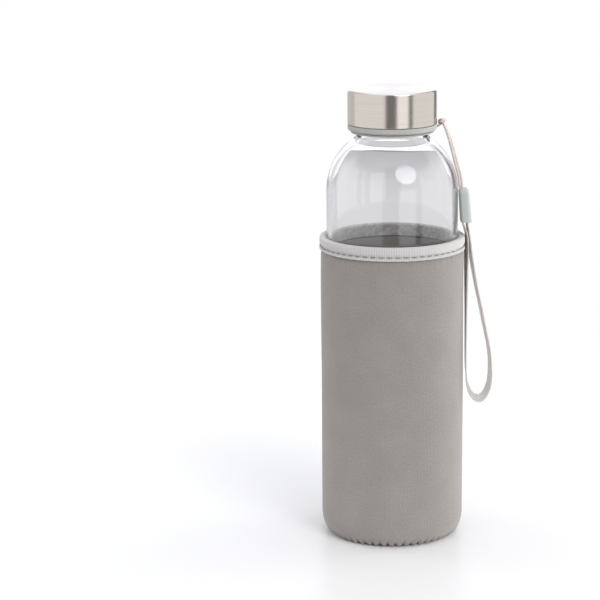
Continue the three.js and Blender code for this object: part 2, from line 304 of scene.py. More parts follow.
# ---- materials ---------------------------------------------------------------------------
class Nodes:
    """A material's node tree, with short calls for the nodes used here."""

    def __init__(self, name, **inputs):
        self.material = bpy.data.materials.new(name)
        self.material.use_nodes = True
        self.tree = self.material.node_tree
        self.shader = self.tree.nodes["Principled BSDF"]
        for key, value in inputs.items():
            self.shader.inputs[key.replace("_", " ")].default_value = value

    def add(self, kind, **settings):
        node = self.tree.nodes.new(kind)
        for key, value in settings.items():
            if hasattr(node, key):
                setattr(node, key, value)
            else:
                node.inputs[key.replace("_", " ")].default_value = value
        return node

    def link(self, out, into):
        self.tree.links.new(out, into)

    def cloth_coords(self, scale):
        """The piece's cloth UVs, in millimetres, times scale."""
        uv = self.add("ShaderNodeUVMap", uv_map="cloth")
        mapping = self.add("ShaderNodeMapping")
        mapping.inputs["Scale"].default_value = scale
        self.link(uv.outputs["UV"], mapping.inputs["Vector"])
        return mapping.outputs["Vector"]

    def object_coords(self, scale):
        """Object coordinates, which are metres, times scale."""
        place = self.add("ShaderNodeTexCoord")
        mapping = self.add("ShaderNodeMapping")
        mapping.inputs["Scale"].default_value = scale
        self.link(place.outputs["Object"], mapping.inputs["Vector"])
        return mapping.outputs["Vector"]

    def noise(self, coords, scale, detail=3.0, roughness=0.5):
        node = self.add("ShaderNodeTexNoise", Scale=scale, Detail=detail, Roughness=roughness)
        self.link(coords, node.inputs["Vector"])
        return node.outputs["Fac"]

    def wave(self, coords, scale, direction="X", distortion=0.0):
        node = self.add("ShaderNodeTexWave", wave_type="BANDS", bands_direction=direction,
                        Scale=scale, Distortion=distortion, Detail=1.0)
        self.link(coords, node.inputs["Vector"])
        return node.outputs["Fac"]

    def math(self, operation, a, b):
        node = self.add("ShaderNodeMath", operation=operation)
        for socket, value in zip(node.inputs, (a, b)):
            if isinstance(value, (int, float)):
                socket.default_value = value
            else:
                self.link(value, socket)
        return node.outputs["Value"]

    def ramp(self, fac, stops):
        node = self.add("ShaderNodeValToRGB")
        elements = node.color_ramp.elements
        while len(elements) < len(stops):
            elements.new(0.5)
        for element, (position, color) in zip(elements, stops):
            element.position = position
            element.color = (*color, 1)
        self.link(fac, node.inputs["Fac"])
        return node.outputs["Color"]

    def tint(self, fac, dark, light, low=0.3, high=0.7):
        """Drives the base colour from dark to light as fac goes from low to high."""
        color = self.ramp(fac, [(low, dark), (high, light)])
        self.link(color, self.shader.inputs["Base Color"])

    def vary_roughness(self, fac, low, high):
        node = self.add("ShaderNodeMapRange")
        node.inputs["To Min"].default_value = low
        node.inputs["To Max"].default_value = high
        self.link(fac, node.inputs["Value"])
        self.link(node.outputs["Result"], self.shader.inputs["Roughness"])

    def bump(self, height, distance, strength=1.0):
        node = self.add("ShaderNodeBump", Strength=strength, Distance=distance)
        self.link(height, node.inputs["Height"])
        previous = self.shader.inputs["Normal"].links
        if previous:
            self.link(previous[0].from_socket, node.inputs["Normal"])
        self.link(node.outputs["Normal"], self.shader.inputs["Normal"])


def shade(color, factor):
    return tuple(c * factor for c in color)


def glass_material():
    m = Nodes("clear_glass", Base_Color=(1.0, 1.0, 1.0, 1), Roughness=0.0, IOR=1.5,
              Transmission_Weight=1.0)
    waviness = m.noise(m.object_coords((1, 1, 0.4)), 60, 1.0)
    m.bump(waviness, 0.00010, 0.5)
    # Lamps and the soft dome shine through the glass on what is behind it.
    rays = m.add("ShaderNodeLightPath")
    passing = m.math("MAXIMUM", rays.outputs["Is Shadow Ray"], rays.outputs["Is Diffuse Ray"])
    clear = m.add("ShaderNodeBsdfTransparent", Color=(0.885, 0.888, 0.885, 1))
    mix = m.add("ShaderNodeMixShader")
    m.link(passing, mix.inputs["Fac"])
    m.link(m.shader.outputs["BSDF"], mix.inputs[1])
    m.link(clear.outputs["BSDF"], mix.inputs[2])
    m.link(mix.outputs["Shader"], m.tree.nodes["Material Output"].inputs["Surface"])
    return m.material


def neoprene_material():
    base = (0.335, 0.308, 0.288)
    m = Nodes("neoprene_knit", Roughness=0.92, Sheen_Weight=0.35, Sheen_Roughness=0.5,
              Specular_IOR_Level=0.25)
    m.shader.inputs["Sheen Tint"].default_value = (0.9, 0.88, 0.86, 1)
    coords = m.cloth_coords((1, 1, 1))
    wales = m.wave(coords, 0.39, "X", 1.5)
    courses = m.wave(coords, 0.47, "Y", 1.5)
    knit = m.math("MULTIPLY", wales, courses)
    fuzz = m.noise(coords, 1.15, 3.0, 0.65)
    mottle = m.noise(m.object_coords((1, 1, 1)), 60, 4.0)
    mix = m.math("ADD", m.math("MULTIPLY", knit, 0.12), m.math("MULTIPLY", fuzz, 0.66))
    mix = m.math("ADD", mix, m.math("MULTIPLY", mottle, 0.28))
    m.tint(mix, shade(base, 0.80), shade(base, 1.17), 0.3, 0.75)
    m.bump(knit, 0.00012, 0.7)
    m.bump(fuzz, 0.00010, 0.5)
    return m.material


def binding_material():
    base = (0.66, 0.64, 0.635)
    m = Nodes("elastic_binding", Roughness=0.8, Sheen_Weight=0.3, Sheen_Roughness=0.4,
              Specular_IOR_Level=0.3)
    coords = m.cloth_coords((1, 1, 1))
    # The rib bands are partly the elastic's knit ribs and partly painted shade that darkens the grooves
    # between them.
    ribs = m.wave(coords, 0.393, "X")
    yarn = m.noise(coords, 3.0, 3.0, 0.6)
    mix = m.math("ADD", m.math("MULTIPLY", ribs, 0.5), m.math("MULTIPLY", yarn, 0.5))
    # Inside the hem the elastic is fuzzy and uneven.
    radius = m.add("ShaderNodeVectorMath", operation="LENGTH")
    m.link(m.object_coords((1, 1, 0)), radius.inputs[0])
    inside = m.math("LESS_THAN", radius.outputs["Value"], 0.0331)
    fuzz = m.math("SUBTRACT", m.noise(m.object_coords((1, 1, 1)), 420, 4.0, 0.7), 0.5)
    mix = m.math("ADD", mix, m.math("MULTIPLY", inside, m.math("MULTIPLY", fuzz, 4.0)))
    m.tint(mix, shade(base, 0.80), shade(base, 1.12))
    m.bump(yarn, 0.00008, 0.5)
    return m.material


def thread_material(name, base):
    m = Nodes(name, Roughness=0.75, Sheen_Weight=0.2)
    twist = m.wave(m.cloth_coords((1, 1, 1)), 0.8, "DIAGONAL")
    m.tint(twist, shade(base, 0.75), shade(base, 1.1))
    m.bump(twist, 0.00005, 0.6)
    return m.material


def steel_material():
    m = Nodes("brushed_steel", Metallic=1.0, Roughness=0.3, Anisotropic=0.75, Anisotropic_Rotation=0.25)
    tangent = m.add("ShaderNodeTangent", direction_type="RADIAL", axis="Z")
    m.link(tangent.outputs["Tangent"], m.shader.inputs["Tangent"])
    fine = m.noise(m.cloth_coords((0.04, 9.0, 1)), 1.0, 4.0, 0.7)
    broad = m.noise(m.cloth_coords((0.015, 2.0, 1)), 1.0, 2.0)
    mix = m.math("ADD", m.math("MULTIPLY", fine, 0.6), m.math("MULTIPLY", broad, 0.4))
    m.tint(mix, (0.62, 0.572, 0.505), (0.72, 0.67, 0.606))
    m.vary_roughness(fine, 0.15, 0.27)
    m.bump(fine, 0.00003, 0.35)
    return m.material


def plastic_material(name, base, roughness=0.45, subsurface=0.25):
    m = Nodes(name, Roughness=roughness, IOR=1.47, Subsurface_Weight=subsurface, Subsurface_Scale=0.002,
              Subsurface_Radius=(1, 1, 1))
    grain = m.noise(m.object_coords((1, 1, 1)), 900, 3.0)
    cloud = m.noise(m.object_coords((1, 1, 1)), 80, 2.0)
    m.tint(cloud, shade(base, 0.95), shade(base, 1.04))
    m.vary_roughness(grain, roughness - 0.06, roughness + 0.08)
    m.bump(grain, 0.00004, 0.4)
    return m.material


def cord_material():
    base = (0.66, 0.57, 0.53)
    m = Nodes("braided_cord", Roughness=0.8, Sheen_Weight=0.4, Sheen_Roughness=0.4,
              Subsurface_Weight=0.6, Subsurface_Scale=0.002, Subsurface_Radius=(1, 1, 1))
    coords = m.cloth_coords((1, 1, 1))
    fibre = m.noise(coords, 5.0, 3.0)
    m.tint(fibre, shade(base, 0.85), shade(base, 1.12))
    m.bump(fibre, 0.00004, 0.5)
    return m.material


def ribbon_material():
    base = (0.62, 0.59, 0.56)
    m = Nodes("woven_ribbon", Roughness=0.7, Sheen_Weight=0.4, Sheen_Roughness=0.35,
              Subsurface_Weight=0.6, Subsurface_Scale=0.002, Subsurface_Radius=(1, 1, 1))
    coords = m.cloth_coords((1, 1, 1))
    # The weft bands are partly the ribbon's woven ribs and partly painted shade that darkens the grooves
    # between the ribs.
    weft_and_groove_shade = m.wave(coords, RIB_PITCH, "X")
    fibre = m.noise(coords, 4.0, 3.0)
    mix = m.math("ADD", m.math("MULTIPLY", weft_and_groove_shade, 0.65), m.math("MULTIPLY", fibre, 0.35))
    m.tint(mix, shade(base, 0.75), shade(base, 1.32))
    m.bump(weft_and_groove_shade, 0.0001, 0.6)
    return m.material


# ---- sleeve ------------------------------------------------------------------------------
def near_stitches(angle, count, width):
    """1 at each of count places round the axis, falling to 0 over width of the spacing."""
    phase = (angle * count / TAU) % 1.0
    away = np.minimum(phase, 1 - phase)
    return np.exp(-((away / width) ** 2))


def soft_step(x, low, high):
    t = np.clip((x - low) / (high - low), 0, 1)
    return t * t * (3 - 2 * t)


def sleeve_shape(r, z, angle):
    outside = r > SLEEVE_R - NEOPRENE / 2
    lower = r < SLEEVE_R - 0.01
    uneven = 0.06 * np.sin(3 * angle + 0.04 * z) + 0.05 * np.sin(5 * angle - 0.07 * z + 1)
    uneven = uneven * soft_step(z, 14, 30) * (1 - soft_step(z, 128, 139))
    bite = near_stitches(angle, BASE_STITCHES, 0.2) * (1 - soft_step(z, 0.2, 4.5))
    pucker = near_stitches(angle, RIM_STITCHES, 0.3) * soft_step(z, 134, 141) * (z < HEM_LOW)
    seam_away = r * np.abs(angle - TAU / 4)
    seam = np.exp(-((seam_away / 1.5) ** 2)) * soft_step(z, 9, 14)
    r = r + outside * uneven - 0.95 * bite * lower
    r = r - outside * (0.10 * pucker + 0.62 * seam * (z < SLEEVE_TOP - 5))
    z = z + 0.8 * bite * lower
    return r, z


def sleeve_body():
    foot = DISC_R + 0.3
    outline = [
        *arc(foot + 0.65, SLEEVE_CORNER, SLEEVE_R - foot - 0.65, SLEEVE_CORNER - 0.05, -90, 0, 26),
        *line((SLEEVE_R, SLEEVE_CORNER + 3), (SLEEVE_R, HEM_LOW - 5), 60),
        (SLEEVE_R - 0.02, HEM_LOW - 3.2),
        (SLEEVE_R - 0.10, HEM_LOW - 1.8),
        (SLEEVE_R - 0.30, HEM_LOW - 0.7),
        (TUCK_OUTER, HEM_LOW + 0.1),
        (TUCK_OUTER, SLEEVE_TOP),
        (TUCK_INNER, SLEEVE_TOP),
        (TUCK_INNER, HEM_LOW),
        (32.6, HEM_LOW - 0.5),
        (SLEEVE_BORE, HEM_LOW - 1.2),
        *line((SLEEVE_BORE, 130), (SLEEVE_BORE, SLEEVE_CORNER + 4), 8),
        *arc(foot, SLEEVE_CORNER, SLEEVE_BORE - foot, SLEEVE_CORNER - NEOPRENE, 0, -90, 8),
        (foot, 1.2),
    ]
    piece = revolve("sleeve_cloth", outline, BASE_STITCHES * 8, NEOPRENE_CLOTH, "sleeve",
                    "sleeve_body", sleeve_shape)
    return piece


def sleeve_base():
    def shape(r, z, angle):
        bite = near_stitches(angle, BASE_STITCHES, 0.17) * soft_step(r, DISC_R - 2.2, DISC_R - 0.3)
        return r - 0.35 * bite, z + 0.3 * bite * (z < 1)

    outline = [
        (0, 0),
        *line((4, 0), (DISC_R - 1.4, 0), 10),
        *arc(DISC_R - 1.2, 1.2, 1.2, 1.2, -85, 0, 5),
        *arc(DISC_R - 0.5, NEOPRENE - 0.5, 0.5, 0.5, 0, 90, 3),
        *line((DISC_R - 2, NEOPRENE), (4, NEOPRENE), 6),
        (0, NEOPRENE),
    ]
    piece = revolve("sleeve_base_cloth", outline, BASE_STITCHES * 8, NEOPRENE_CLOTH, "sleeve",
                    "sleeve_base", shape)


def binding():
    ribs = 280
    lip = HEM_R + 0.12
    split = 34.0                # radius between the binding's outer and inner layers

    def shape(r, z, angle):
        rib = 0.5 - 0.5 * np.cos(ribs * angle)
        pulled = near_stitches(angle, RIM_STITCHES, 0.28)
        channel = np.exp(-(((z - STITCH_Z) / 0.75) ** 2)) * (r > split)
        ribbed = (z > STITCH_Z + 0.5) | (r < split)
        r = r - channel * (0.12 + 0.28 * pulled)
        toward_axis = np.where(r > 33.7, -1.0, 1.0)
        shown = (r > 34.5) | (z > HEM_HIGH - 0.7) | (r < 32.5)
        r = r + toward_axis * rib * 0.12 * shown * ribbed
        z = z - 0.06 * rib * (z > HEM_HIGH - 0.5) + 0.10 * pulled * (z < HEM_LOW + 0.5) * (r > 34.6)
        return r, z

    mid = (HEM_R + SLEEVE_BORE) / 2
    outline = [
        (34.35, HEM_LOW + 0.35),
        *arc(lip - 0.52, HEM_LOW + 0.55, 0.52, 0.55, -120, 70, 8),
        (35.02, STITCH_Z - 0.45),
        (34.92, STITCH_Z),
        (35.04, STITCH_Z + 0.5),
        (HEM_R - 0.05, STITCH_Z + 1.0),
        (HEM_R + 0.02, STITCH_Z + 1.8),
        (HEM_R, HEM_HIGH - 2.0),
        *arc(mid, HEM_HIGH - 1.4, (HEM_R - SLEEVE_BORE) / 2, 1.4, 0, 180, 14),
        (SLEEVE_BORE, HEM_HIGH - 2.4),
        *line((SLEEVE_BORE, HEM_HIGH - 3.4), (SLEEVE_BORE, HEM_LOW + 0.6), 4),
        *arc(SLEEVE_BORE + 0.3, HEM_LOW + 0.4, 0.3, 0.3, 180, 360, 4),
        (32.7, HEM_HIGH - 0.7),
        (34.35, HEM_HIGH - 0.7),
    ]
    piece = revolve("rim_binding_cloth", outline, ribs * 6, BINDING_CLOTH, "sleeve", "rim_binding", shape)
    return piece


def rim_stitches():
    """One lockstitch dash over each space, diving into the binding at both ends."""
    parts = []
    spacing = TAU / RIM_STITCHES
    steps, thread_r = 13, 0.2
    arch = np.sin(np.linspace(0, math.pi, steps)) ** 0.5
    radius = 34.72 + 0.50 * arch
    section = round_section(steps, 8, thread_r * (0.45 + 0.55 * arch[:, None]))
    for k in range(RIM_STITCHES):
        angles = (k + np.linspace(0.14, 0.86, steps)) * spacing
        path = np.stack([radius * np.cos(angles), radius * np.sin(angles), np.full(steps, STITCH_Z)], 1)
        parts.append(sweep_grid(path, section, (0, 0, 1)))
    piece = add_tubes("rim_lockstitch", parts, THREAD_DARKENED_AS_NOTCH_SHADE, "sleeve", "rim_stitch_thread")
    return piece


def base_stitches():
    """Overlock loops that climb from under the disc over the edge of the tube."""
    parts = []
    spacing = TAU / BASE_STITCHES
    route = [(27.4, 0.34), (28.5, 0.36), (29.4, 0.75), (30.2, 1.3), (30.9, 1.8), (31.35, 2.1), (31.3, 2.4)]
    steps, thread_r = 16, 0.24
    radius, height = spline(route, steps)[0].T
    section = round_section(steps, 8, thread_r)
    for k in range(BASE_STITCHES):
        for lean in (-0.16, 0.16):
            angles = (k + np.linspace(-lean, lean, steps)) * spacing
            path = np.stack([radius * np.cos(angles), radius * np.sin(angles), height], 1)
            parts.append(sweep_grid(path, section, (0, 0, 1)))
    # The overlock thread's extra darkness is painted shade for the notches between the scallops at the
    # foot.
    piece = add_tubes("base_overlock", parts, THREAD_DARKENED_AS_NOTCH_SHADE, "sleeve", "base_stitch_thread")
    return piece


def seam_stitches():
    """Zigzag that joins the sheet's edges down the back, and its two straight border lines."""
    centre_r = SLEEVE_R - 0.42
    low, high = SEAM_LOW.z, SEAM_HIGH.z
    border = 1.5                # from the seam's middle to each straight line
    turns = int((high - low) / 1.7)
    zigzag = [((-1) ** k * 1.05, low + (high - low) * k / turns) for k in range(turns + 1)]
    flat, _ = spline(zigzag, turns * 7)
    parts = []
    for route, radius in ((flat, 0.21),
                          (np.array(line((-border, low), (-border, high), 120)), 0.17),
                          (np.array(line((border, low), (border, high), 120)), 0.17)):
        r = centre_r + 0.30 * (np.abs(route[:, 0]) / border) ** 2
        angle = TAU / 4 - route[:, 0] / r
        path = np.stack([r * np.cos(angle), r * np.sin(angle), route[:, 1]], 1)
        parts.append(sweep_grid(path, round_section(len(path), 7, radius), (0, 1, 0)))
    piece = add_tubes("side_seam_zigzag", parts, SEAM_THREAD, "sleeve", "side_seam_thread")
    return piece


# ---- glass -------------------------------------------------------------------------------
def helix_height(z, angle, start, turns):
    """Height above or below the nearest turn of a ridge, and how far the ridge has faded in."""
    best = np.full(np.shape(z), 99.0)
    fade = np.zeros(np.shape(z))
    for turn in range(int(math.ceil(turns))):
        wound = angle / TAU + turn
        away = np.abs(z - (start + PITCH * wound))
        here = np.clip(np.minimum(wound, turns - wound) / 0.12, 0, 1)
        closer = (away < best) & (wound <= turns)
        best = np.where(closer, away, best)
        fade = np.where(closer, here, fade)
    return best, fade


def thread_ridge(z, angle, start, height):
    away, fade = helix_height(z, angle, start, THREAD_TURNS)
    return height * fade * (1 - soft_step(away, 0.45, 1.15))


def glass_bottle():
    bore = GLASS_R - GLASS_WALL
    centre = GLASS_R - SHOULDER_ARC
    inner_arc = SHOULDER_ARC - GLASS_WALL
    inside_floor = GLASS_LOW + 5.3

    def shape(r, z, angle):
        ridge = thread_ridge(z, angle, NECK_THREAD_Z, RIDGE)
        return r + ridge * (np.abs(r - NECK_R) < 0.02), z

    outline = [
        (0, GLASS_LOW + 1.8),
        *line((6, GLASS_LOW + 1.75), (20, GLASS_LOW + 0.7), 6),
        (23, GLASS_LOW + 0.25),
        (25.4, GLASS_LOW),
        *arc(26.6, GLASS_LOW + 8.6, GLASS_R - 26.6, 8.6, -86, 0, 14),
        *line((GLASS_R, 24), (GLASS_R, SHOULDER_Z - 8), 10),
        *arc(centre, SHOULDER_Z, SHOULDER_ARC, SHOULDER_ARC, 0, 54, 30),
        *arc(NECK_R + 3.1, 199.2, 3.1, 3.1, 232, 180, 8),
        *line((NECK_R, 200), (NECK_R, MOUTH_Z - 1.1), 62),
        *arc(NECK_R - 1.0, MOUTH_Z - 1.0, 1.0, 1.0, 10, 90, 6),
        *arc(NECK_BORE + 0.9, MOUTH_Z - 0.9, 0.9, 0.9, 95, 180, 6),
        *line((NECK_BORE, MOUTH_Z - 2), (NECK_BORE, 201), 8),
        *arc(NECK_BORE + 4.5, 199.5, 4.5, 4.5, 180, 226, 8),
        *arc(centre, SHOULDER_Z, inner_arc, inner_arc, 56, 0, 30),
        *line((bore, SHOULDER_Z - 8), (bore, 26), 10),
        *arc(bore - 7, inside_floor + 7, 7, 7, 0, -88, 12),
        *line((20, inside_floor - 0.05), (6, inside_floor + 0.5), 5),
        (0, inside_floor + 0.6),
    ]
    piece = revolve("clear_bottle", outline, ROUND, CLEAR_GLASS, "bottle", "glass_bottle", shape)


# ---- lid ---------------------------------------------------------------------------------
def lid_shell():
    edge, sheet = 1.2, 0.5      # radius of the upper edge, and thickness of the steel
    inner = LID_R - sheet
    outline = [
        (0, LID_TOP - sheet),
        *line((4, LID_TOP - sheet), (inner - 0.9, LID_TOP - sheet), 6),
        *arc(inner - 0.8, LID_TOP - 1.3, 0.8, 0.8, 90, 0, 4),
        *line((inner, LID_TOP - 3), (inner, LID_LOW + 0.5), 4),
        *arc(inner + 0.25, LID_LOW + 0.25, 0.25, 0.25, 180, 360, 8),
        *line((LID_R, LID_LOW + 0.6), (LID_R, LID_TOP - edge - 0.3), 12),
        *arc(LID_R - edge, LID_TOP - edge, edge, edge, 0, 90, 12),
        *line((LID_R - edge - 1.5, LID_TOP), (3, LID_TOP), 10),
        (0, LID_TOP),
    ]
    piece = revolve("steel_cover", outline, ROUND, BRUSHED_STEEL, "lid", "lid_shell")


def lid_liner():
    outer = LID_R - 0.8
    groove = RING_BORE - 0.3
    lip = RING_LOW - 0.3
    ceiling = LINER_TOP - 1.8

    def shape(r, z, angle):
        ridge = thread_ridge(z, angle, LINER_THREAD_Z, RIDGE)
        return r - ridge * (np.abs(r - LINER_BORE) < 0.02), z

    outline = [
        (0, ceiling),
        *line((3, ceiling), (LINER_BORE - 0.8, ceiling), 4),
        *arc(LINER_BORE - 0.6, ceiling - 0.6, 0.6, 0.6, 90, 10, 3),
        *line((LINER_BORE, ceiling - 1.2), (LINER_BORE, LINER_LOW + 0.5), 62),
        *arc(LINER_BORE + 0.4, LINER_LOW + 0.3, 0.4, 0.3, 180, 270, 4),
        *arc(groove + 0.1, lip - 0.3, 0.5, 0.5, -80, 0, 4),
        (groove + 0.6, lip),
        (groove, lip),
        *line((groove, lip + 0.6), (groove, LID_LOW), 3),
        (outer, LID_LOW),
        *line((outer, LID_LOW + 2), (outer, LINER_TOP - 0.6), 4),
        (outer - 0.6, LINER_TOP),
        (3, LINER_TOP),
        (0, LINER_TOP),
    ]
    piece = revolve("threaded_liner", outline, ROUND, GREY_PLASTIC, "lid", "lid_liner", shape)


def lid_gasket():
    mid = (GASKET_LOW + GASKET_HIGH) / 2
    half = (GASKET_HIGH - GASKET_LOW) / 2
    outer = box_mm("lid_gasket")[1].x
    outline = [
        *arc(12.5 + half, mid, half, half, 90, 270, 8),
        *line((14.4, GASKET_LOW), (15, GASKET_LOW + 0.12), 2),
        *line((16.4, GASKET_LOW + 0.12), (17, GASKET_LOW), 2),
        *arc(outer - half, mid, half, half, -90, 90, 8),
    ]
    piece = revolve("silicone_gasket", outline, 128, SILICONE, "gasket", "lid_gasket")


# ---- strap -------------------------------------------------------------------------------
def strap_ring():
    top = LID_LOW - 0.3
    outline = [
        (RING_BORE, RING_LOW + 0.15),
        (RING_BORE + 0.15, RING_LOW),
        *arc(LID_R - 1.2, RING_LOW + 1.2, 1.2, 1.2, -90, 0, 8),
        *line((LID_R, RING_LOW + 1.6), (LID_R, top - 0.2), 3),
        (LID_R - 0.2, top),
        (RING_BORE + 0.15, top),
        (RING_BORE, top - 0.15),
    ]
    piece = revolve("swivel_ring", outline, ROUND, GREY_PLASTIC, "strap_collar", "strap_ring")
    join_lug(piece)


def join_lug(ring):
    """Fuses the eyelet and its root, made as rounded closed bodies, to the ring."""
    mid, bar = (LUG_R + LUG_HOLE) / 2, (LUG_R - LUG_HOLE) / 2
    turn, across = np.meshgrid(np.arange(40) * TAU / 40, np.arange(16) * TAU / 16, indexing="ij")
    reach = mid + bar * np.sign(np.cos(across)) * np.abs(np.cos(across)) ** 0.7
    eye = np.stack([LUG_X + reach * np.cos(turn), 0.85 * np.sin(across), LUG_Z + reach * np.sin(turn)], -1)
    faces, _ = grid_faces(40, 16, True, True)
    eye_piece = add_piece("lug_eye", eye.reshape(-1, 3), faces.tolist(), material=GREY_PLASTIC, weld=True)
    root, _ = spline([(20.7, 0, 201.7), (21.6, 0, 201.75), (22.6, 0, 202.1), (23.4, 0, 202.75)], 14)
    a = np.arange(20) * TAU / 20
    wide, tall = np.full(14, 0.8), np.linspace(0.75, 0.42, 14)
    section = np.stack([wide[:, None] * np.cos(a), tall[:, None] * np.sin(a)], -1)
    verts, faces, _ = tube_mesh([sweep_grid(root, section, (0, 1, 0))])
    root_piece = add_piece("lug_root", verts, faces, material=GREY_PLASTIC, weld=True)
    for other in (root_piece, eye_piece):
        fuse = ring.modifiers.new("fuse", "BOOLEAN")
        fuse.operation = "UNION"
        fuse.solver = "EXACT"
        fuse.object = other
        bpy.context.view_layer.update()
        with_fuse = ring.evaluated_get(bpy.context.evaluated_depsgraph_get())
        fused = bpy.data.meshes.new_from_object(with_fuse)
        ring.modifiers.remove(fuse)
        ring.data = fused
        bpy.data.objects.remove(other)
    ring.data.polygons.foreach_set("use_smooth", [True] * len(ring.data.polygons))


def braid_radius(rings, around, pitch_rings, depth):
    """Radius factors of a braid: two families of strands that cross, over and under."""
    i, j = np.meshgrid(np.arange(rings), np.arange(around), indexing="ij")
    left = np.cos(TAU * (i / pitch_rings + 4 * j / around))
    right = np.cos(TAU * (i / pitch_rings - 4 * j / around))
    return 1 - depth + depth * np.maximum(left, right)


def strap_cord():
    """Up from the clasp, two turns through the lug that cover each other, and back down."""
    rings, around = 620, 20
    x, z = LUG_X, LUG_Z
    hitch = [
        (25.1, 1.3, 201.9), (24.3, 1.85, 202.9), (x + 0.1, 1.55, z - 0.2), (x, 0.8, z), (x, -0.9, z),
        (x + 0.2, -1.75, z + 0.35), (x + 0.95, -1.75, z + 0.95), (x + 1.65, -1.0, z + 1.05),
        (x + 2.05, 0.1, z + 0.75), (x + 1.85, 1.15, z + 0.2), (x + 1.0, 1.8, z - 0.45),
        (x + 0.1, 1.75, z - 1.1), (x - 0.7, 1.55, z - 0.3), (x - 0.35, 0.9, z + 0.55),
        (x + 0.1, 0, z + 0.5), (x + 0.55, -1.1, z + 0.2), (24.65, -1.75, 203.2), (24.95, -1.4, 202.0),
    ]
    path, length = spline([*np.array(OUTER_STRAND) / MM, *hitch, *np.array(INNER_STRAND) / MM], rings)
    radius = CORD_D / 2 * 1.04 * braid_radius(rings, around, 9.0, 0.11)
    section = round_section(rings, around, radius)
    piece = add_tubes("doubled_cord", [sweep_grid(path, section, (0, 1, 0))], BEIGE_CORD, None,
                      "strap_cord")
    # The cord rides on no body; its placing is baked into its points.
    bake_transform(piece)


def strap_clasp():
    """Moulded body with a domed top, faces that meet in soft edges, and a parting line round it."""
    low, high = CLASP_LOW.z, CLASP_HIGH.z
    half_width = CLASP_HIGH.y
    around = 96
    rows = [(low + 0.9, 0.70), (low + 0.02, 0.72), (low, 0.84), (low + 0.1, 0.955), (low + 0.4, 1.0)]
    rows += [(z, 1.0) for z in np.linspace(low + 0.8, high - 2.9, 34)]
    rows += [(high - 2.7 + 2.7 * math.sin(a), 0.10 + 0.90 * math.cos(a) ** 0.55)
             for a in np.linspace(0.06, math.pi / 2 - 0.02, 18)]
    a = np.arange(around) * TAU / around
    grid = []
    for z, scale in rows:
        share = np.clip((z - low) / (high - low), 0, 1)
        half_x = (CLASP_LOW_THICK + (CLASP_TOP_THICK - CLASP_LOW_THICK) * share) / 2
        half_y = half_width - 0.3 * share
        inner = CLASP_LOW_X + (CLASP_TOP_X - CLASP_LOW_X) * share
        x = np.sign(np.cos(a)) * np.abs(np.cos(a)) ** 0.38 * half_x
        y = np.sign(np.sin(a)) * np.abs(np.sin(a)) ** 0.38 * half_y
        chamfer = 0.55 * soft_step(x / half_x, 0.25, 1.0)
        parting = 0.10 * np.exp(-(((x - 0.25 * half_x) / 0.14) ** 2)) * (scale == 1.0)
        y = y - np.sign(y) * (chamfer + parting) * (np.abs(y) > 0.5 * half_y)
        grid.append(np.stack([inner + half_x + x * scale, y * scale, np.full(around, z)], 1))
    piece = add_tubes("moulded_clasp", [np.array(grid)], CLASP_PLASTIC, "strap", "strap_clasp")
    return piece


def ribbon_sections(rings, length):
    """Cross-sections of the ribbon: a ribbed face between thick corded selvedges, turned slightly."""
    across = np.linspace(-1, 1, 25)
    rib = 0.5 + 0.5 * np.cos(TAU * np.linspace(0, length, rings) / RIB_PITCH)
    edge = soft_step(np.abs(across), 0.78, 0.92)
    half_thick = RIBBON_THICK / 2 * (0.60 + 0.42 * edge[None] * (0.25 + 0.75 * rib[:, None])
                                     + 0.12 * (1 - edge[None]) * rib[:, None])
    half_thick[:, [0, -1]] *= 0.6
    y = across[None] * RIBBON_WIDTH / 2 * (0.95 + 0.05 * rib[:, None])
    flat = np.concatenate([np.stack([y, half_thick], -1), np.stack([y, -half_thick], -1)[:, ::-1]], 1)
    share = np.linspace(0, 1, rings)
    turn = np.radians(np.interp(share, *zip(*RIBBON_TURN)))[:, None]
    return np.stack([flat[..., 0] * np.cos(turn) - flat[..., 1] * np.sin(turn),
                     flat[..., 0] * np.sin(turn) + flat[..., 1] * np.cos(turn)], -1)


def strap_ribbon(clasp):
    path, length = spline(np.array(RIBBON) / MM, 1200)
    inside = CLASP_LOW.z + 0.7
    path = np.vstack([(path[0, 0] - 0.3, 0, inside), path, (path[-1, 0] + 0.02, 0, inside)])
    sections = ribbon_sections(len(path), length)
    piece = add_tubes("wrist_ribbon", [sweep_grid(path, sections, (0, 1, 0))], WOVEN_RIBBON, "strap",
                      "strap_ribbon")


